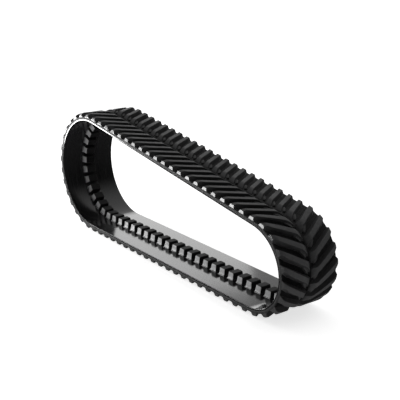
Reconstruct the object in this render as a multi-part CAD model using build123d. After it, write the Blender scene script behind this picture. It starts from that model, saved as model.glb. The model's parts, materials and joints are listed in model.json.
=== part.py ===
from build123d import *
import math
import os

# Endless rubber track of a twin-track farm tractor, standing on its tread.
# Millimetres, +Z up, +X towards the small front end, +Y the track's left side.
# The origin is on the ground, at the middle of the whole track's length and width.

# ---- driving dimensions -------------------------------------------------------------
link_count = 66
pitch = 152.4
belt_width = 762.0

# The loop is given at the belt's inner surface.
rear_radius = 689.0
front_upper_radius = 483.0
front_lower_radius = 407.0
wheel_spacing = 3184.0          # rear centre to the front lower arc's centre, along X

# Layers, from the inner surface outwards.
inner_cover_thickness = 18.0
inner_ply_thickness = 4.0
main_cord_thickness = 8.0
ply_thickness = 4.0
outer_cover_thickness = 8.0
edge_strip_width = 20.0
rib_width = 24.0                # the low rib along the tread's centre line
rib_height = 10.0

# Tread lug. Widths are measured along the belt.
lug_height = 50.0
lug_top_width = 56.0
lug_base_width = 94.0
lug_sweep = 0.52                # travel along the belt for each unit across it
lug_end_height = 30.0           # height of a lug's end face, flush with the belt's edge
lug_end_length = 42.0           # slope from the end face up to the full height
lug_nose_length = 60.0          # slope from the full height down to the centre rib
lug_nose_height = 12.0
lug_phase = 0.24 * pitch        # right lug's end, past its link's centre
row_stagger = 0.5 * pitch       # the two rows are half a pitch out of step

# Heel: the low buttress on each lug's leading side, beside the centre line.
heel_start = 262.0              # distance from the belt's edge
heel_length = 54.0              # past the lug's leading foot, at the centre rib
heel_height = 24.0
heel_start_reach = 1.0          # past the lug's leading foot, where the heel begins

# Guide lug, on the inner surface. It stands on a low strip between the two wheel paths.
guide_strip_width = 184.0
guide_strip_height = 2.0
guide_height = 82.0             # from the wheel paths
guide_pad_height = 8.0          # from the wheel paths
guide_pad_length = 114.0        # along the belt
guide_pad_width = 176.0         # across it
guide_base_length = 98.0
guide_base_width = 160.0
guide_top_length = 86.0
guide_top_width = 134.0
guide_edge_chamfer = 7.0

# The press cures the belt in equal sections; one node holds one section's lugs.
links_per_section = 6
section_count = link_count // links_per_section

overlap_for_cutting = 6.0       # how far a piece is made too deep before it is trimmed

# ---- derived sizes ------------------------------------------------------------------
carcass_thickness = (inner_cover_thickness + inner_ply_thickness + main_cord_thickness
                     + 3 * ply_thickness + outer_cover_thickness)
half_width = belt_width / 2
lug_length = half_width - rib_width / 2     # square to the belt, from its edge to the rib


# ---- the loop: stretches in order, clockwise when seen from the right side -----------
def make_stretches():
    """Return the five stretches of the inner surface, and the pitch line's depth."""
    rear = Vector(0, 0, rear_radius)
    radius_change = front_upper_radius - front_lower_radius
    front = Vector(wheel_spacing - radius_change, 0, front_lower_radius)
    run = front - rear
    radius_drop = rear_radius - front_upper_radius
    top_normal = math.atan2(run.Z, run.X) + math.acos(radius_drop / run.length)
    top_heading = top_normal - math.pi / 2
    top_length = math.sqrt(run.length ** 2 - radius_drop ** 2)
    start = rear + rear_radius * Vector(math.cos(top_normal), 0, math.sin(top_normal))
    turns = [
        (0, top_length, top_heading),
        (front_upper_radius, top_heading + math.pi / 2, top_heading),
        (front_lower_radius, math.pi / 2, -math.pi / 2),
        (0, wheel_spacing, -math.pi),
        (rear_radius, math.pi - top_heading, -math.pi),
    ]
    inner_length = sum(amount * radius if radius else amount for radius, amount, _ in turns)
    depth = (link_count * pitch - inner_length) / (2 * math.pi)
    stretches = []
    position = 0
    point = start
    for radius, amount, heading in turns:
        length = amount * (radius + depth) if radius else amount
        stretches.append({"from": position, "length": length, "radius": radius,
                          "heading": heading, "start": point})
        position += length
        point = end_of_stretch(point, heading, radius, amount)
    return stretches, depth


def end_of_stretch(point, heading, radius, amount):
    """Where a stretch of the inner surface ends: a run, or a clockwise arc."""
    if not radius:
        return point + amount * Vector(math.cos(heading), 0, math.sin(heading))
    centre = point - radius * Vector(-math.sin(heading), 0, math.cos(heading))
    end_heading = heading - amount
    return centre + radius * Vector(-math.sin(end_heading), 0, math.cos(end_heading))


stretches, pitch_line_depth = make_stretches()
loop_length = link_count * pitch


def stretch_at(position):
    """The stretch that holds a position along the pitch line."""
    position = position % loop_length
    for stretch in stretches:
        if position <= stretch["from"] + stretch["length"]:
            return stretch
    return stretches[-1]


def belt_axes(position):
    """Inner-surface point, travel direction and outward direction at a position."""
    stretch = stretch_at(position)
    distance = position % loop_length - stretch["from"]
    heading = stretch["heading"]
    radius = stretch["radius"]
    if radius:
        amount = distance / (radius + pitch_line_depth)
        point = end_of_stretch(stretch["start"], heading, radius, amount)
        heading -= amount
    else:
        point = end_of_stretch(stretch["start"], heading, 0, distance)
    travel = Vector(math.cos(heading), 0, math.sin(heading))
    outward = Vector(-math.sin(heading), 0, math.cos(heading))
    return point, travel, outward


def belt_point(position, across, height):
    """A point given along the belt, across it, and outwards from its inner surface."""
    point, _, outward = belt_axes(position)
    return point + height * outward + Vector(0, across, 0)


def lies_straight(first, last):
    """True where the belt has no bend between two positions."""
    stretch = stretch_at(first)
    return not stretch["radius"] and stretch is stretch_at(last)


def loop_wire(height, across):
    """The closed outline of the loop at a height above the inner surface."""
    edges = []
    for stretch in stretches:
        start = stretch["from"]
        middle = start + stretch["length"] / 2
        end = start + stretch["length"]
        if stretch["radius"]:
            points = [belt_point(s, across, height) for s in (start, middle, end)]
            edges.append(ThreePointArc(*points))
        else:
            edges.append(Line(belt_point(start, across, height), belt_point(end, across, height)))
    return Wire(edges)


def band(inner_height, outer_height, low_side, high_side):
    """One endless layer of the belt."""
    outline = loop_wire(outer_height, low_side)
    hole = loop_wire(inner_height, low_side)
    return extrude(Face(outline, [hole]), high_side - low_side, dir=(0, 1, 0))


def filled_loop(height):
    """Everything inside the loop at a height, a little wider than the belt."""
    side = half_width + overlap_for_cutting
    return extrude(Face(loop_wire(height, -side)), 2 * side, dir=(0, 1, 0))


# ---- tread lugs ---------------------------------------------------------------------
def lug_section(position, across, top_height, lead, trail, base_height):
    """Corners of a lug bar's cross-section; lead and trail are its reach at its base."""
    taper = (lug_base_width - lug_top_width) / 2 * top_height / lug_height
    top = carcass_thickness + top_height
    return [
        belt_point(position - trail, across, base_height),
        belt_point(position + lead, across, base_height),
        belt_point(position + lead - taper, across, top),
        belt_point(position - trail + taper, across, top),
    ]


def bent_bar(sections):
    """A solid through cross-sections in a row, for a lug on a bend of the belt."""
    return Solid.make_loft([Wire.make_polygon(corners) for corners in sections], ruled=True)


def straight_bar(sections):
    """The same for a lug on a straight run, where every face is a plane."""
    faces = [Face(Wire.make_polygon(sections[0])), Face(Wire.make_polygon(sections[-1]))]
    for first, last in zip(sections, sections[1:]):
        for i in range(len(first)):
            side = [first[i - 1], first[i], last[i], last[i - 1]]
            faces.append(Face(Wire.make_polygon(side)))
    return Solid(Shell(faces))


def between(first, last, steps):
    """Values from first to last in equal steps, both ends included."""
    return [first + (last - first) * i / steps for i in range(steps + 1)]


def tread_lug(link_position, side):
    """One lug of the tread; side is -1 for the right row and +1 for the left."""
    end_position = link_position + lug_phase + (row_stagger if side > 0 else 0)
    half_base = lug_base_width / 2
    flat = lies_straight(end_position - half_base,
                         end_position + lug_sweep * half_width + lug_base_width)
    base_height = carcass_thickness - (0 if flat else overlap_for_cutting)

    def section(from_edge, top_height, lead=half_base, trail=half_base):
        position = end_position + lug_sweep * from_edge
        across = side * (half_width - from_edge)
        return lug_section(position, across, top_height, lead, trail, base_height)

    nose_start = lug_length - lug_nose_length
    middle = between(lug_end_length, nose_start, 1 if flat else 5)
    sections = [section(0, lug_end_height)]
    sections += [section(y, lug_height) for y in middle]
    sections.append(section(lug_length, lug_nose_height))
    heel_slope = (heel_length - heel_start_reach) / (lug_length - heel_start)
    heel = []
    for y in between(heel_start, lug_length, 1 if flat else 3):
        lead = half_base + heel_start_reach + heel_slope * (y - heel_start)
        heel.append(section(y, heel_height, lead=lead, trail=0))
    if flat:
        return straight_bar(sections) + straight_bar(heel)
    return bent_bar(sections) + bent_bar(heel) - carcass_fill


# ---- guide lugs ---------------------------------------------------------------------
def guide_shape():
    """A guide lug standing up along +Z, its length along X and its width along Y."""
    pad = Pos(0, 0, (guide_pad_height - overlap_for_cutting) / 2) * Box(
        guide_pad_length, guide_pad_width, guide_pad_height + overlap_for_cutting)
    base = Pos(0, 0, guide_pad_height) * Rectangle(guide_base_length, guide_base_width)
    top = Pos(0, 0, guide_height) * Rectangle(guide_top_length, guide_top_width)
    block = loft([base.face(), top.face()], ruled=True)
    block = chamfer(block.faces().sort_by(Axis.Z)[-1].edges(), guide_edge_chamfer)
    return pad + block


def guide_lug(link_position, shape):
    """A guide lug in its place on the loop, trimmed to the guide strip."""
    point, travel, outward = belt_axes(link_position)
    place = Plane(origin=point, x_dir=travel, z_dir=-outward).location
    return (place * shape) & guide_cavity


# ---- the whole track ----------------------------------------------------------------
def belt_layers():
    """The endless layers, from the wheels' side outwards."""
    layers = {}
    height = inner_cover_thickness
    strip = band(-guide_strip_height, 0, -guide_strip_width / 2, guide_strip_width / 2)
    layers["inner_cover"] = band(0, height, -half_width, half_width) + strip
    ply_edge = half_width - edge_strip_width
    for name, thickness in (("inner_ply", inner_ply_thickness),
                            ("main_cord_layer", main_cord_thickness),
                            ("transverse_ply", ply_thickness),
                            ("bias_ply_inner", ply_thickness),
                            ("bias_ply_outer", ply_thickness)):
        layers[name] = band(height, height + thickness, -ply_edge, ply_edge)
        height += thickness
    layers["edge_strip_right"] = band(inner_cover_thickness, height, -half_width, -ply_edge)
    layers["edge_strip_left"] = band(inner_cover_thickness, height, ply_edge, half_width)
    rib = band(carcass_thickness, carcass_thickness + rib_height, -rib_width / 2, rib_width / 2)
    layers["outer_cover"] = band(height, carcass_thickness, -half_width, half_width) + rib
    return layers


carcass_fill = filled_loop(carcass_thickness)
guide_cavity = filled_loop(-guide_strip_height)

nodes = belt_layers()
guide = guide_shape()
for section in range(section_count):
    links = [(section * links_per_section + i) * pitch for i in range(links_per_section)]
    number = f"{section + 1:02d}"
    nodes["guide_lugs_" + number] = Compound([guide_lug(s, guide).solid() for s in links])
    nodes["tread_right_" + number] = Compound([tread_lug(s, -1).solid() for s in links])
    nodes["tread_left_" + number] = Compound([tread_lug(s, 1).solid() for s in links])

extent = Compound([solid for shape in nodes.values() for solid in shape.solids()]).bounding_box()
to_ground = Pos(-(extent.min.X + extent.max.X) / 2, 0, -extent.min.Z)

os.makedirs("parts", exist_ok=True)
for name, shape in nodes.items():
    export_step(to_ground * shape, "parts/" + name + ".step")
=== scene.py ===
import json
import math

import bmesh
import bpy
import numpy as np
from mathutils import Matrix, Vector


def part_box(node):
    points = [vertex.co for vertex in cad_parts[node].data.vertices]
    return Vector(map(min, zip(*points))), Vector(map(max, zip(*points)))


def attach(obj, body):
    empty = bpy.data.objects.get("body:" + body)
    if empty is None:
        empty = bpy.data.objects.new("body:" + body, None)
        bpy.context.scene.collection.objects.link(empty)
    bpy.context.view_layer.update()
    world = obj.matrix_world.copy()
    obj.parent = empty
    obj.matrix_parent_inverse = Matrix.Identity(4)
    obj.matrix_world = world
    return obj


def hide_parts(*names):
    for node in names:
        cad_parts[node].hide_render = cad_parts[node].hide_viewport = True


# An endless rubber track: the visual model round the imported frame. Metres, row frame.

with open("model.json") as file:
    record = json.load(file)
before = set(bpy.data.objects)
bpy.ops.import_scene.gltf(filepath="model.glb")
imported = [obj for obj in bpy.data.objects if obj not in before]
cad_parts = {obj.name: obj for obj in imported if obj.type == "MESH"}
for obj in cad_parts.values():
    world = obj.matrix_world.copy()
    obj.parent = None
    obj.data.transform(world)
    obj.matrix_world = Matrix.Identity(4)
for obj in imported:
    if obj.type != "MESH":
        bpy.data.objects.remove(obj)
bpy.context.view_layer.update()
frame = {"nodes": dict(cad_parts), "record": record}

# ---- sizes --------------------------------------------------------------------------
link_count = 66
pitch = 0.1524
loop_length = link_count * pitch
front_upper_radius = 0.483
front_lower_radius = 0.407

mounts = {mount["name"]: mount for mount in frame["record"]["mounts"]}
wheel_seat = mounts["drive_wheel_seat_right"]
rear_radius = wheel_seat["dims"]["r_mm"] / 1000
rear_centre = np.array([wheel_seat["pos_m"][0], wheel_seat["pos_m"][2]])
floor_height = mounts["roller_path_right"]["pos_m"][2]
half_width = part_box("inner_cover")[1].y

rear_inner_x = rear_centre[0] - rear_radius
inner_cover_top = rear_inner_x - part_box("inner_cover")[0].x
strip_top = rear_inner_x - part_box("edge_strip_right")[0].x
strip_width = half_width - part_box("main_cord_layer")[1].y
rib_height = 0.010
carcass_top = rear_inner_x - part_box("outer_cover")[0].x - rib_height
front_centre = np.array([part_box("inner_cover")[1].x - inner_cover_top - front_upper_radius,
                         floor_height + front_lower_radius])

rib_half_width = 0.012
guide_strip_half_width = 0.092
guide_strip_height = 0.002

lug_height = 0.050
lug_half_top = 0.028
lug_half_base = 0.047
lug_sweep = 0.52
lug_end_height = 0.030          # the end face, flush with the belt's edge
lug_end_length = 0.042
lug_end_draft = 0.21            # how far the end face leans in for each unit of its height
lug_corner_setback = 0.012      # the leading corner of a lug's end is taken back by this much
lug_corner_chamfer = 0.006
lug_corner_start = 0.01         # distances from the belt's edge over which the corner fades out
lug_corner_length = 0.07
lug_nose_height = 0.012
lug_nose_length = 0.060
heel_foot_height = 0.0015       # a heel's height where it fades into the floor between the lugs
heel_rise = 0.0225
heel_reach = 0.040              # past the lug's leading foot
heel_foot_reach = 0.004
foot_fillet = 0.009             # reach of the fillet between a lug and the outer cover
foot_sink = 0.002               # the fillet's foot is this deep in the cover
lug_length = half_width - rib_half_width
lug_phase = 0.24 * pitch
row_stagger = 0.5 * pitch
links_per_section = 6
section_count = link_count // links_per_section


# ---- the loop -----------------------------------------------------------------------
def make_stretches():
    """The five stretches of the inner surface, clockwise from the rear top.

    The second value returned is the depth of the pitch line below the inner surface.
    """
    run = front_centre - rear_centre
    run_length = math.hypot(run[0], run[1])
    drop = rear_radius - front_upper_radius
    top_normal = math.atan2(run[1], run[0]) + math.acos(drop / run_length)
    top_heading = top_normal - math.pi / 2
    top_length = math.sqrt(run_length ** 2 - drop ** 2)
    lower_centre = front_centre + np.array([front_upper_radius - front_lower_radius, 0])
    bottom_length = lower_centre[0] - rear_centre[0]
    plan = [
        (0, top_length, top_heading, rear_centre),
        (front_upper_radius, top_heading + math.pi / 2, top_heading, front_centre),
        (front_lower_radius, math.pi / 2, -math.pi / 2, lower_centre),
        (0, bottom_length, -math.pi, lower_centre),
        (rear_radius, math.pi - top_heading, -math.pi, rear_centre),
    ]
    inner_length = sum(amount * radius if radius else amount for radius, amount, _, _ in plan)
    depth = (loop_length - inner_length) / (2 * math.pi)
    stretches = []
    start = 0
    for radius, amount, heading, centre in plan:
        length = amount * (radius + depth) if radius else amount
        stretches.append((start, length, radius, heading, centre))
        start += length
    return stretches, depth


stretches, pitch_line_depth = make_stretches()


def outward_of(heading):
    return np.stack([-np.sin(heading), np.cos(heading)], axis=-1)


def travel_of(heading):
    return np.stack([np.cos(heading), np.sin(heading)], axis=-1)


def belt_axes(position):
    """Inner-surface points in x and z, and headings, at positions along the pitch line."""
    position = np.mod(np.asarray(position, float), loop_length)
    point = np.zeros(position.shape + (2,))
    heading = np.zeros(position.shape)
    for index, (start, length, radius, first_heading, centre) in enumerate(stretches):
        here = (position >= start) & (position <= start + length)
        distance = position[here] - start
        if radius:
            heading[here] = first_heading - distance / (radius + pitch_line_depth)
            point[here] = centre + radius * outward_of(heading[here])
        else:
            side_radius = rear_radius if index == 0 else front_lower_radius
            first = centre + side_radius * outward_of(np.array(first_heading))
            heading[here] = first_heading
            point[here] = first + distance[:, None] * travel_of(heading[here])
    return point, heading


def belt_points(position, across, height):
    """Points given along the belt, across it and outwards from its inner surface."""
    position, across, height = np.broadcast_arrays(position, across, height)
    point, heading = belt_axes(position)
    flat = point + height[..., None] * outward_of(heading)
    return np.stack([flat[..., 0], across, flat[..., 1]], axis=-1)


# ---- mesh helpers -------------------------------------------------------------------
def grid_faces(rows, columns, first=0, ring=False):
    """Quads over a grid of points whose columns close on themselves; ring closes the rows too."""
    faces = []
    for row in range(rows if ring else rows - 1):
        a = first + row * columns
        b = first + ((row + 1) % rows) * columns
        for column in range(columns):
            after = (column + 1) % columns
            faces.append((a + column, a + after, b + after, b + column))
    return faces


def capped_faces(rows, columns, first=0):
    """The same, with both ends closed by one face each."""
    faces = grid_faces(rows, columns, first)
    faces.append(tuple(first + column for column in reversed(range(columns))))
    faces.append(tuple(first + (rows - 1) * columns + column for column in range(columns)))
    return faces


def belt_facing(mesh, position):
    """Each face's normal, split along the belt, across it and outwards."""
    normals = np.empty(len(mesh.polygons) * 3, np.float32)
    mesh.polygons.foreach_get("normal", normals)
    normals = normals.reshape(-1, 3)
    _, heading = belt_axes(position[[polygon.vertices[0] for polygon in mesh.polygons]])
    flat = normals[:, (0, 2)]
    along = np.sum(flat * travel_of(heading), axis=1)
    out = np.sum(flat * outward_of(heading), axis=1)
    return np.stack([along, normals[:, 1], out], axis=-1)


def make_piece(name, nodes, material, parts):
    """One piece that replaces CAD nodes, from closed shells of (points, belt places, faces)."""
    points = np.concatenate([part[0] for part in parts])
    places = np.concatenate([part[1] for part in parts])
    faces = []
    first = 0
    for part in parts:
        faces += [tuple(first + corner for corner in face) for face in part[2]]
        first += len(part[0])
    mesh = bpy.data.meshes.new(name)
    mesh.from_pydata(points.tolist(), [], faces)
    attribute = mesh.attributes.new("belt_place", "FLOAT_VECTOR", "POINT")
    attribute.data.foreach_set("vector", places.astype(np.float32).ravel())
    work = bmesh.new()
    work.from_mesh(mesh)
    bmesh.ops.recalc_face_normals(work, faces=work.faces)
    work.to_mesh(mesh)
    work.free()
    mesh.polygons.foreach_set("use_smooth", [True] * len(mesh.polygons))
    attribute = mesh.attributes.new("belt_facing", "FLOAT_VECTOR", "FACE")
    attribute.data.foreach_set("vector", belt_facing(mesh, places[:, 0]).astype(np.float32).ravel())
    mesh.materials.append(material)
    piece = bpy.data.objects.new(name, mesh)
    bpy.context.scene.collection.objects.link(piece)
    piece.modifiers.new("even_flats", "WEIGHTED_NORMAL").weight = 80
    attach(piece, "root")
    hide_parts(*nodes)
    return piece


def belt_shell(position, across, height, faces):
    """A shell from belt coordinates, arrays of one shape."""
    position, across, height = np.broadcast_arrays(position, across, height)
    points = belt_points(position, across, height).reshape(-1, 3)
    places = np.stack([position, across, height], axis=-1).reshape(-1, 3)
    return points, places, faces


def smooth_step(value):
    value = np.clip(value, 0, 1)
    return value * value * (3 - 2 * value)


def soft_minimum(a, b, reach):
    """The smaller of two heights, blended where they are within reach of each other."""
    mix = np.maximum(reach - np.abs(a - b), 0) / reach
    return np.minimum(a, b) - mix * mix * reach / 4


def rounded_outline(corners, steps=4):
    """An open outline of (x, y, radius) corners, each but the ends rounded by a short curve."""
    points = [np.array(corners[0][:2])]
    for before, corner, after in zip(corners, corners[1:], corners[2:]):
        here = np.array(corner[:2])
        back = np.array(before[:2]) - here
        on = np.array(after[:2]) - here
        back_length = math.hypot(*back)
        on_length = math.hypot(*on)
        cut = min(corner[2], 0.46 * back_length, 0.46 * on_length)
        start = here + back / back_length * cut
        end = here + on / on_length * cut
        for step in range(steps + 1):
            t = step / steps
            points.append((1 - t) ** 2 * start + 2 * t * (1 - t) * here + t * t * end)
    points.append(np.array(corners[-1][:2]))
    return points


# ---- materials ----------------------------------------------------------------------
class Nodes:
    """Small helper that adds and links shader nodes."""

    def __init__(self, material):
        self.tree = material.node_tree
        self.shader = self.tree.nodes["Principled BSDF"]

    def add(self, kind, **values):
        node = self.tree.nodes.new(kind)
        for name, value in values.items():
            setattr(node, name, value)
        return node

    def link(self, output, target):
        self.tree.links.new(output, target)

    def noise(self, vector, scale, detail=4.0, roughness=0.55):
        node = self.add("ShaderNodeTexNoise")
        node.inputs["Scale"].default_value = scale
        node.inputs["Detail"].default_value = detail
        node.inputs["Roughness"].default_value = roughness
        self.link(vector, node.inputs["Vector"])
        return node.outputs["Fac"]

    def spread(self, value, low, high, to_low, to_high):
        node = self.add("ShaderNodeMapRange")
        limits = {"From Min": low, "From Max": high, "To Min": to_low, "To Max": to_high}
        for name, number in limits.items():
            node.inputs[name].default_value = number
        self.link(value, node.inputs["Value"])
        return node.outputs["Result"]

    def maths(self, operation, a, b):
        node = self.add("ShaderNodeMath", operation=operation)
        for index, value in enumerate((a, b)):
            if isinstance(value, (int, float)):
                node.inputs[index].default_value = value
            else:
                self.link(value, node.inputs[index])
        return node.outputs[0]

    def mix(self, factor, first, second):
        node = self.add("ShaderNodeMix", data_type="RGBA")
        self.link(factor, node.inputs["Factor"])
        for name, value in (("A", first), ("B", second)):
            socket = next(s for s in node.inputs if s.name == name and s.type == "RGBA")
            if isinstance(value, tuple):
                socket.default_value = value + (1.0,)
            else:
                self.link(value, socket)
        return next(s for s in node.outputs if s.type == "RGBA")

    def bump(self, height, strength, distance, normal=None):
        node = self.add("ShaderNodeBump")
        node.inputs["Strength"].default_value = strength
        node.inputs["Distance"].default_value = distance
        self.link(height, node.inputs["Height"])
        if normal is not None:
            self.link(normal, node.inputs["Normal"])
        return node.outputs["Normal"]

    def facing(self, axis):
        """How squarely a face looks along a belt axis: 0 along, 1 across, 2 outwards."""
        split = self.add("ShaderNodeSeparateXYZ")
        attribute = self.add("ShaderNodeAttribute", attribute_name="belt_facing")
        self.link(attribute.outputs["Vector"], split.inputs[0])
        return self.maths("ABSOLUTE", split.outputs[axis], 0.0)

    def hatch(self, vector, period):
        """Two crossed sets of fine diagonal lines, moulded from a fabric."""
        split = self.add("ShaderNodeSeparateXYZ")
        self.link(vector, split.inputs[0])
        turn = 2 * math.pi / period
        total = self.maths("ADD", split.outputs[0], split.outputs[1])
        difference = self.maths("SUBTRACT", split.outputs[0], split.outputs[1])
        rising = self.maths("SINE", self.maths("MULTIPLY", total, turn), 0.0)
        falling = self.maths("SINE", self.maths("MULTIPLY", difference, turn), 0.0)
        return self.maths("MULTIPLY", rising, falling)


def rubber(name, dark, light, roughness, grain=0.35, wear_and_sheen=None, end_face_highlight=None,
           hatch_period=None, streaks=False):
    """Black rubber with colour variation, fine grain, and dull and shiny areas.

    wear_and_sheen is (axis, low, high, colour, gloss): the faces that look along that belt axis, and
    their edges, are made lighter and smoother; the lighter colour is partly wear and partly a painted
    highlight of the light falling on them. end_face_highlight is (colour, gloss) for the lugs' end
    faces, which look
    sideways: their lighter colour is a painted highlight. Streaks run along the belt.
    """
    material = bpy.data.materials.new(name)
    material.use_nodes = True
    nodes = Nodes(material)
    place = nodes.add("ShaderNodeTexCoord").outputs["Object"]
    belt = nodes.add("ShaderNodeAttribute", attribute_name="belt_place").outputs["Vector"]
    if streaks:
        stretch = nodes.add("ShaderNodeMapping")
        stretch.inputs["Scale"].default_value = (0.6, 14.0, 1.0)
        nodes.link(belt, stretch.inputs["Vector"])
        broad = nodes.noise(stretch.outputs["Vector"], 3.0, 5.0)
    else:
        broad = nodes.noise(place, 5.0, 5.0)
    fine = nodes.noise(place, 260.0, 3.0)
    colour = nodes.mix(nodes.spread(broad, 0.35, 0.68, 0.0, 1.0), dark, light)
    change = 0.012 if streaks else 0.06
    dull = nodes.maths("ADD", nodes.spread(broad, 0.3, 0.7, -change, change),
                       nodes.spread(fine, 0.3, 0.7, -0.03, 0.03))
    dull = nodes.maths("ADD", dull, roughness)
    belt_split = nodes.add("ShaderNodeSeparateXYZ")
    nodes.link(belt, belt_split.inputs[0])
    across = nodes.maths("ABSOLUTE", belt_split.outputs[1], 0.0)
    # The lugs' end faces, which look sideways, get a lighter colour, a painted highlight, and more
    # gloss.
    if end_face_highlight:
        sideways = nodes.facing(1)
        side = nodes.spread(sideways, 0.86, 0.94, 0.0, 1.0)
        colour = nodes.mix(side, colour, end_face_highlight[0])
        dull = nodes.maths("SUBTRACT", dull, nodes.maths("MULTIPLY", side, end_face_highlight[1]))
    # Faces and edges made lighter and glossier: partly wear, partly a painted highlight of the light on
    # them. On the tread, faces low on the lugs get a quarter of it, and the outer ends near the belt's
    # edge get all of it.
    if wear_and_sheen:
        axis, low, high, wear_and_sheen_colour, gloss = wear_and_sheen
        facing = nodes.spread(nodes.facing(axis), low, high, 0.0, 1.0)
        if axis == 2:
            raised = nodes.spread(belt_split.outputs[2], carcass_top + 0.014, carcass_top + 0.034,
                                  0.25, 1.0)
            near_edge = nodes.spread(across, 0.30, 0.32, 0.0, 1.0)
            facing = nodes.maths("MULTIPLY", facing, nodes.maths("MAXIMUM", raised, near_edge))
        edge = nodes.add("ShaderNodeNewGeometry").outputs["Pointiness"]
        edge_wear_and_highlight = nodes.spread(edge, 0.54, 0.62, 0.0, 0.7)
        if axis == 2:
            edge_wear_and_highlight = nodes.maths("MULTIPLY", edge_wear_and_highlight, raised)
        facing = nodes.maths("MAXIMUM", facing, edge_wear_and_highlight)
        patches = nodes.spread(nodes.noise(place, 38.0, 4.0), 0.3, 0.7, 0.7, 1.0)
        patchy_wear_and_sheen = nodes.maths("MULTIPLY", facing, patches)
        colour = nodes.mix(patchy_wear_and_sheen, colour, wear_and_sheen_colour)
        dull = nodes.maths("SUBTRACT", dull, nodes.maths("MULTIPLY", patchy_wear_and_sheen, gloss))
    nodes.link(colour, nodes.shader.inputs["Base Color"])
    nodes.link(dull, nodes.shader.inputs["Roughness"])
    normal = nodes.bump(fine, grain, 0.0006)
    normal = nodes.bump(nodes.noise(place, 42.0, 3.0), grain * 0.5, 0.0016, normal)
    if hatch_period:
        lines = nodes.hatch(belt, hatch_period)
        normal = nodes.bump(lines, 0.5, 0.0009, normal)
    nodes.link(normal, nodes.shader.inputs["Normal"])
    nodes.shader.inputs["IOR"].default_value = 1.5
    return material


# Tread lugs: the outward-facing tops are lighter and glossier, partly wear and partly a painted
# highlight; the end faces carry a painted highlight.
tread_rubber = rubber("tread_rubber", (0.016, 0.016, 0.0165), (0.026, 0.026, 0.0265), 0.85,
                      wear_and_sheen=(2, 0.60, 0.92, (0.056, 0.056, 0.057), 0.26),
                      end_face_highlight=((0.05, 0.05, 0.0505), 0.64))
# The floor between the lugs is near-black, darker than the lugs' rubber: painted shade for the gaps
# between them.
cover_rubber = rubber("cover_rubber", (0.002, 0.002, 0.0022), (0.005, 0.005, 0.0052), 0.85,
                      hatch_period=0.011)
edge_rubber = rubber("edge_rubber", (0.005, 0.005, 0.0053), (0.012, 0.012, 0.0123), 0.62,
                     grain=0.5, hatch_period=0.007)
inner_rubber = rubber("inner_rubber", (0.010, 0.010, 0.0105), (0.015, 0.015, 0.0155), 0.13,
                      grain=0.05, streaks=True)
# Guide lugs: the faces that look across the belt, and the edges, are made much lighter, a painted
# highlight.
guide_rubber = rubber("guide_rubber", (0.003, 0.003, 0.0032), (0.007, 0.007, 0.0073), 0.75,
                      wear_and_sheen=(1, 0.70, 0.92, (0.24, 0.24, 0.242), 0.40))


def cord_material(name, coat, steel, cord_period):
    """Steel cords showing as fine ridges through their rubber coat."""
    material = bpy.data.materials.new(name)
    material.use_nodes = True
    nodes = Nodes(material)
    place = nodes.add("ShaderNodeTexCoord").outputs["Object"]
    split = nodes.add("ShaderNodeSeparateXYZ")
    nodes.link(place, split.inputs[0])
    turn = 2 * math.pi / cord_period
    wave = nodes.maths("SINE", nodes.maths("MULTIPLY", split.outputs[1], turn), 0.0)
    cords = nodes.spread(wave, -0.2, 0.9, 0.0, 1.0)
    nodes.link(nodes.mix(cords, coat, steel), nodes.shader.inputs["Base Color"])
    dull = nodes.spread(nodes.noise(place, 60.0), 0.3, 0.7, 0.4, 0.6)
    nodes.link(dull, nodes.shader.inputs["Roughness"])
    nodes.link(nodes.bump(cords, 0.6, 0.001), nodes.shader.inputs["Normal"])
    return material


# ---- the belt's layers --------------------------------------------------------------
stations_per_link = 12


def ring_piece(name, node, material, outline):
    """An endless layer with a closed outline of (across, height) points."""
    count = link_count * stations_per_link
    position = np.arange(count)[:, None] * (loop_length / count)
    across = np.array([point[0] for point in outline])[None, :]
    height = np.array([point[1] for point in outline])[None, :]
    faces = grid_faces(count, len(outline), ring=True)
    shell = belt_shell(position, across, height, faces)
    return make_piece(name, [node], material, [shell])


def spaced(first, last, count):
    """Points between two corners, both left out."""
    first = np.array(first)
    last = np.array(last)
    return [first + (last - first) * step / (count + 1) for step in range(1, count + 1)]


def inner_cover_outline():
    """The wheels' side, with the low strip that the guide lugs stand on."""
    edge = half_width
    top = inner_cover_top
    strip = guide_strip_half_width
    corners = [(-edge + strip_width, top, 0), (-edge, top, 0.0012), (-edge, 0, 0.006),
               (-strip - 0.003, 0, 0.003), (-strip + 0.001, -guide_strip_height, 0.003),
               (0, -guide_strip_height, 0)]
    left = rounded_outline(corners)
    right = [np.array([-x, y]) for x, y in reversed(left[:-1])]
    return left + right + spaced(right[-1], left[0], 6)


def edge_strip_outline(side):
    """The belt's moulded edge, with the mould's parting line standing out along its middle."""
    inner = half_width - strip_width
    line = 0.0016
    middle = (inner_cover_top + strip_top) / 2
    corners = [(inner, inner_cover_top, 0), (half_width, inner_cover_top, 0.0012),
               (half_width, middle - 2 * line, 0.001), (half_width + line, middle - line, 0.001),
               (half_width + line, middle + line, 0.001), (half_width, middle + 2 * line, 0.001),
               (half_width, strip_top, 0.0012), (inner, strip_top, 0)]
    return [np.array([side * x, y]) for x, y in rounded_outline(corners, 3)]


def outer_cover_outline():
    """The floor between the lugs, with the low rib along its centre line."""
    rib = rib_half_width
    low = strip_top
    top = carcass_top
    corners = [(-half_width + strip_width, low, 0), (-half_width, low, 0.001),
               (-half_width, top, 0.005), (-rib - 0.004, top, 0.008),
               (-rib + 0.003, top + rib_height, 0.004), (0, top + rib_height, 0)]
    left = rounded_outline(corners)
    right = [np.array([-x, y]) for x, y in reversed(left[:-1])]
    return left + right + spaced(right[-1], left[0], 6)


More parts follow.
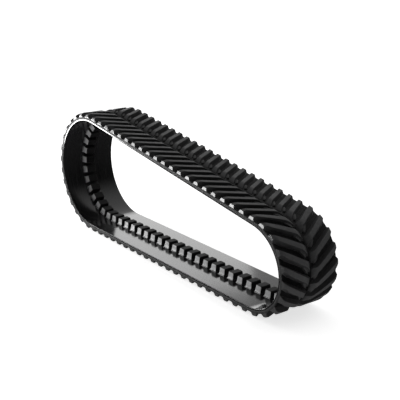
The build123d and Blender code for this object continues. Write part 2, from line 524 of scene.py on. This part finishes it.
ring_piece("inner_cover_belt", "inner_cover", inner_rubber,
           inner_cover_outline())
ring_piece("edge_strip_right_belt", "edge_strip_right", edge_rubber,
           edge_strip_outline(-1))
ring_piece("edge_strip_left_belt", "edge_strip_left", edge_rubber,
           edge_strip_outline(1))
ring_piece("outer_cover_belt", "outer_cover", cover_rubber,
           outer_cover_outline())


# ---- tread lugs ---------------------------------------------------------------------
def lug_stations():
    """Distances from the belt's edge at which a lug's section is taken."""
    # close together where the end face meets the slope behind it, to keep that corner crisp
    end = [0.0, 0.0003, 0.003, 0.0056, 0.0062, 0.0067, 0.0073, 0.009, 0.014, 0.022, 0.029, 0.034, 0.039,
           0.044, 0.05, 0.058, 0.07, 0.085, 0.105]
    body = [0.125, 0.15, 0.18, 0.21, 0.235, 0.25, 0.262, 0.274, 0.286, 0.298]
    nose = [0.306, 0.314, 0.322, 0.33, 0.338, 0.346, 0.355, 0.364, lug_length + 0.004]
    return end + body + nose


def lug_top(from_edge):
    """Height of a lug's top above the outer cover."""
    end_slope = (lug_height - lug_end_height) / lug_end_length
    nose_slope = (lug_height - lug_nose_height) / lug_nose_length
    height = soft_minimum(lug_end_height + end_slope * from_edge, lug_height, 0.006)
    height = soft_minimum(0.001 + from_edge / lug_end_draft, height, 0.002)
    return soft_minimum(height, lug_nose_height + nose_slope * (lug_length - from_edge), 0.010)


def lug_outline(from_edge):
    """A lug's section as (along, height) points, height above the outer cover."""
    top = float(lug_top(from_edge))
    taper = (lug_half_base - lug_half_top) * top / lug_height
    corner = 1 - float(smooth_step((from_edge - lug_corner_start) / lug_corner_length))
    lead_base = lug_half_base - lug_corner_setback * corner
    lead_top = lead_base - taper - lug_corner_chamfer * corner
    trail_base = lug_half_base
    trail_top = trail_base - taper
    # the heel grows towards the centre rib, then sinks to a quarter of its height beside it
    rise = float(smooth_step((from_edge - 0.252) / 0.024)
                 * (1 - 0.75 * smooth_step((from_edge - 0.328) / 0.018)))
    heel_top = min(heel_foot_height + heel_rise * rise, 0.5 * top)
    widening = float(smooth_step((from_edge - 0.25) / 0.07))
    reach = heel_foot_reach + heel_reach * widening * rise
    heel_foot = lead_base - (lead_base - lead_top) * heel_top / top
    heel_toe = heel_foot + reach + 0.35 * heel_top
    corners = [
        (-trail_base - foot_fillet, -foot_sink, 0),
        (-trail_base, 0, 0.012),
        (-trail_top, top, 0.004),
        (lead_top, top, 0.0045),
        (heel_foot, heel_top, 0.006),
        (heel_foot + reach, heel_top, 0.005),
        (heel_toe, 0, 0.006),
        (heel_toe + foot_fillet, -foot_sink, 0),
    ]
    points = rounded_outline(corners)
    points_before_top = 1 + 2 * 5   # the first corner, and two corners of five points each
    points[points_before_top:points_before_top] = spaced(
        points[points_before_top - 1], points[points_before_top], 4)
    return points + spaced(points[-1], points[0], 7)


lug_sections = [(station, np.array(lug_outline(station))) for station in lug_stations()]


def tread_lug(link, side):
    """One lug's closed shell in its place on the belt; side is -1 for the right row."""
    end_position = link * pitch + lug_phase + (row_stagger if side > 0 else 0)
    position = np.stack([end_position + lug_sweep * station + outline[:, 0]
                         for station, outline in lug_sections])
    height = np.stack([carcass_top + outline[:, 1] for _, outline in lug_sections])
    across = np.stack([np.full(len(outline), side * (half_width - station))
                       for station, outline in lug_sections])
    return belt_shell(position, across, height, capped_faces(*position.shape))


for section in range(section_count):
    links = range(section * links_per_section, (section + 1) * links_per_section)
    for row, side in (("right", -1), ("left", 1)):
        node = f"tread_{row}_{section + 1:02d}"
        make_piece(node + "_rubber", [node], tread_rubber,
                   [tread_lug(link, side) for link in links])


# ---- guide lugs ---------------------------------------------------------------------
def rounded_rectangle(length, width, radius, steps=5):
    """Points round a rectangle with round corners, and with points along its sides."""
    points = []
    for turn in range(4):
        half = (length / 2, width / 2) if turn % 2 == 0 else (width / 2, length / 2)
        quarter = []
        for step in range(steps + 1):
            angle = math.pi / 2 * step / steps
            quarter.append((half[0] - radius + radius * math.cos(angle),
                            half[1] - radius + radius * math.sin(angle)))
        for x, y in quarter:
            for _ in range(turn):
                x, y = -y, x
            points.append(np.array([x, y]))
        last = points[-1]
        reach = half[0] - radius
        following = np.array([reach * -2, 0.0])
        for _ in range(turn):
            following = np.array([-following[1], following[0]])
        points += spaced(last, last + following, 5)
    return points


def stacked_shell(levels):
    """Rounded rectangles stacked by height: (height, length, width, corner radius)."""
    loops = [np.array(rounded_rectangle(length, width, radius)) for _, length, width, radius in levels]
    along = np.stack([loop[:, 0] for loop in loops])
    across = np.stack([loop[:, 1] for loop in loops])
    height = np.stack([np.full(len(loop), level[0]) for level, loop in zip(levels, loops)])
    return along, across, height


def guide_block_levels():
    """A tapered block with round corners, flared at its foot and with a rounded top edge."""
    levels = []
    base = (-0.004, 0.100, 0.160, 0.010)
    top = (0.082, 0.086, 0.134, 0.010)
    for share in (0.0, 0.06, 0.10, 0.16, 0.3, 0.5, 0.7, 0.86):
        height, length, width, radius = [low + (high - low) * share for low, high in zip(base, top)]
        flare = 0.006 * max(0.0, 1 - max(height - 0.006, 0) / 0.012) ** 2
        levels.append((height, length + flare, width + flare, radius))
    edge = 0.008
    for step in range(1, 7):
        angle = math.pi / 2 * step / 6
        height = top[0] - edge + edge * math.sin(angle)
        share = (height - base[0]) / (top[0] - base[0])
        inset = 2 * edge * (1 - math.cos(angle))
        levels.append((height, base[1] + (top[1] - base[1]) * share - inset,
                       base[2] + (top[2] - base[2]) * share - inset, 0.011))
    return levels


def guide_pad_levels():
    """The low plinth under a guide lug."""
    top, edge = 0.008, 0.004
    length, width = 0.114, 0.176
    levels = [(-0.003, 0.120, 0.182, 0.016), (0.0, 0.118, 0.180, 0.016), (0.002, 0.115, 0.177, 0.015)]
    for step in range(5):
        angle = math.pi / 2 * step / 4
        inset = 2 * edge * (1 - math.cos(angle))
        levels.append((top - edge + edge * math.sin(angle), length - inset, width - inset, 0.014))
    return levels


pad_shape = stacked_shell(guide_pad_levels())
block_shape = stacked_shell(guide_block_levels())


def guide_pad(link):
    along, across, height = pad_shape
    return belt_shell(link * pitch + along, across, -height, capped_faces(*along.shape))


def guide_block(link):
    """The block keeps its straight shape, square to the belt at its middle."""
    along, across, height = block_shape
    point, heading = belt_axes(np.array([link * pitch]))
    travel = travel_of(heading)[0]
    outward = outward_of(heading)[0]
    flat = point[0] + along[..., None] * travel - height[..., None] * outward
    points = np.stack([flat[..., 0], across, flat[..., 1]], axis=-1).reshape(-1, 3)
    places = np.stack([link * pitch + along, across, -height], axis=-1).reshape(-1, 3)
    return points, places, capped_faces(*along.shape)


for section in range(section_count):
    links = range(section * links_per_section, (section + 1) * links_per_section)
    node = f"guide_lugs_{section + 1:02d}"
    shells = [make(link) for link in links for make in (guide_pad, guide_block)]
    make_piece(node + "_rubber", [node], guide_rubber, shells)


# ---- the sealed layers keep their CAD shapes ----------------------------------------
ply_finish = cord_material("ply_cord", (0.02, 0.02, 0.02), (0.28, 0.27, 0.25), 0.004)
main_finish = cord_material("main_cord", (0.02, 0.02, 0.02), (0.36, 0.35, 0.33), 0.009)
for node in ("inner_ply", "main_cord_layer", "transverse_ply", "bias_ply_inner", "bias_ply_outer"):
    mesh = frame["nodes"][node].data
    mesh.materials.clear()
    mesh.materials.append(main_finish if node == "main_cord_layer" else ply_finish)


# ---- floor, light and camera --------------------------------------------------------
def make_floor():
    reach = 90.0
    mesh = bpy.data.meshes.new("floor")
    mesh.from_pydata([(-reach, -reach, 0), (reach, -reach, 0), (reach, reach, 0), (-reach, reach, 0)],
                     [], [(0, 1, 2, 3)])
    material = bpy.data.materials.new("pale_floor")
    material.use_nodes = True
    nodes = Nodes(material)
    place = nodes.add("ShaderNodeTexCoord").outputs["Object"]
    tone = nodes.spread(nodes.noise(place, 0.8), 0.3, 0.7, 0.0, 1.0)
    grey = nodes.mix(tone, (0.86, 0.86, 0.86), (0.88, 0.88, 0.88))
    nodes.link(grey, nodes.shader.inputs["Base Color"])
    nodes.shader.inputs["Roughness"].default_value = 0.9
    nodes.shader.inputs["Specular IOR Level"].default_value = 0.0
    nodes.shader.inputs["Emission Color"].default_value = (1.0, 1.0, 1.0, 1.0)
    nodes.shader.inputs["Emission Strength"].default_value = 0.72
    mesh.materials.append(material)
    floor = bpy.data.objects.new("floor", mesh)
    bpy.context.scene.collection.objects.link(floor)
    floor.visible_glossy = False


def make_world():
    """A soft studio: bright overhead and behind, dark in front; the backdrop itself is pale."""
    world = bpy.data.worlds.new("studio")
    bpy.context.scene.world = world
    world.use_nodes = True
    tree = world.node_tree
    background = tree.nodes["Background"]
    direction = tree.nodes.new("ShaderNodeTexCoord").outputs["Generated"]
    side = tree.nodes.new("ShaderNodeVectorMath")
    side.operation = "DOT_PRODUCT"
    tree.links.new(direction, side.inputs[0])
    side.inputs[1].default_value = Vector((-0.50, 0.45, 0.74))
    ramp = tree.nodes.new("ShaderNodeValToRGB")
    tree.links.new(side.outputs["Value"], ramp.inputs[0])
    ramp.color_ramp.interpolation = "EASE"
    ramp.color_ramp.elements[0].position = 0.15
    ramp.color_ramp.elements[0].color = (0.02, 0.02, 0.02, 1)
    ramp.color_ramp.elements[1].position = 0.90
    ramp.color_ramp.elements[1].color = (0.8, 0.8, 0.8, 1)
    rays = tree.nodes.new("ShaderNodeLightPath")
    pick = tree.nodes.new("ShaderNodeMix")
    pick.data_type = "RGBA"
    tree.links.new(rays.outputs["Is Camera Ray"], pick.inputs["Factor"])
    sockets = [s for s in pick.inputs if s.type == "RGBA"]
    tree.links.new(ramp.outputs[0], sockets[0])
    sockets[1].default_value = (1.0, 1.0, 1.0, 1)
    tree.links.new(next(s for s in pick.outputs if s.type == "RGBA"), background.inputs["Color"])


def make_softbox(name, place, target, size, power):
    """A large soft lamp that doesn't show itself to the camera."""
    lamp = bpy.data.lights.new(name, "AREA")
    lamp.shape = "RECTANGLE"
    lamp.size, lamp.size_y = size
    lamp.energy = power
    softbox = bpy.data.objects.new(name, lamp)
    softbox.location = place
    softbox.rotation_euler = (Vector(target) - Vector(place)).to_track_quat("-Z", "Y").to_euler()
    softbox.visible_camera = False
    bpy.context.scene.collection.objects.link(softbox)


def make_camera():
    camera = bpy.data.cameras.new("camera")
    camera.sensor_width = 36.0
    camera.lens = 70.36
    camera.shift_x = -0.0014
    camera.shift_y = 0.1135
    camera.clip_end = 300.0
    holder = bpy.data.objects.new("camera", camera)
    right = Vector((0.61347, 0.78960, 0.01341))
    up = Vector((-0.28590, 0.20623, 0.93580))
    back = Vector((0.73614, -0.57793, 0.35227))
    turn = Matrix((right, up, back)).transposed().to_4x4()
    holder.matrix_world = Matrix.Translation((7.162, -5.290, 3.515)) @ turn
    bpy.context.scene.collection.objects.link(holder)
    bpy.context.scene.camera = holder


make_floor()
make_world()
make_softbox("back_softbox", (-7.6, 4.4, 2.9), (0, 0, 0.5), (5.5, 3.2), 105)
make_softbox("low_left_card", (-4.6, -4.4, 0.7), (0.2, 0, 0.2), (7.0, 1.5), 500)
make_softbox("rim_card", (-5.2, -2.4, 0.7), (-1.9, -0.4, 1.3), (1.1, 0.9), 50)
make_camera()
bpy.context.scene.view_settings.view_transform = "Standard"
